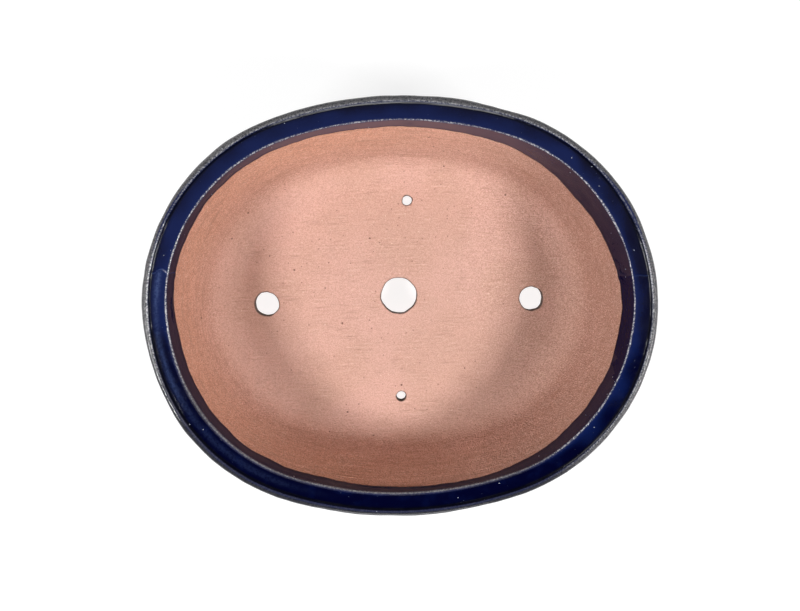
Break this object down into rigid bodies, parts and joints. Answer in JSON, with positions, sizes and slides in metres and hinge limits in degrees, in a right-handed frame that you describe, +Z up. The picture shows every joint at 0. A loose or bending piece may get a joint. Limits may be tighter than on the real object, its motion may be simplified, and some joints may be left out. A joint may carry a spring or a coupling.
{
  "type": "bonsai pot",
  "caption": "Oval stoneware bonsai pot with a flared wall, a channelled overhanging lip, dark blue glaze, drain and tie-wire holes and short cloud feet.",
  "frame": {"origin": "on the ground under the middle of the pot, so the feet stand at z = 0", "axes": "+X along the length of the oval, to the right as the pot is seen from the front; +Y to the rear; +Z up, out of the mouth"},
  "size_m": [0.256, 0.209, 0.08],
  "materials": {
    "clay": "unglazed pink-brown fired clay with a fine sandy grain, matt",
    "glaze": "deep cobalt glass glaze, glossy, thin and paler where it breaks over the ridges of the lip"
  },
  "bodies": {
    "root": {"floor_slab": "clay", "wall_front": "clay", "wall_rear": "clay", "lip_front": "clay", "lip_rear": "clay", "foot_front_left": "clay", "foot_front_right": "clay", "foot_rear_left": "clay", "foot_rear_right": "clay", "glaze_coat": "glaze"}
  },
  "joints": []
}
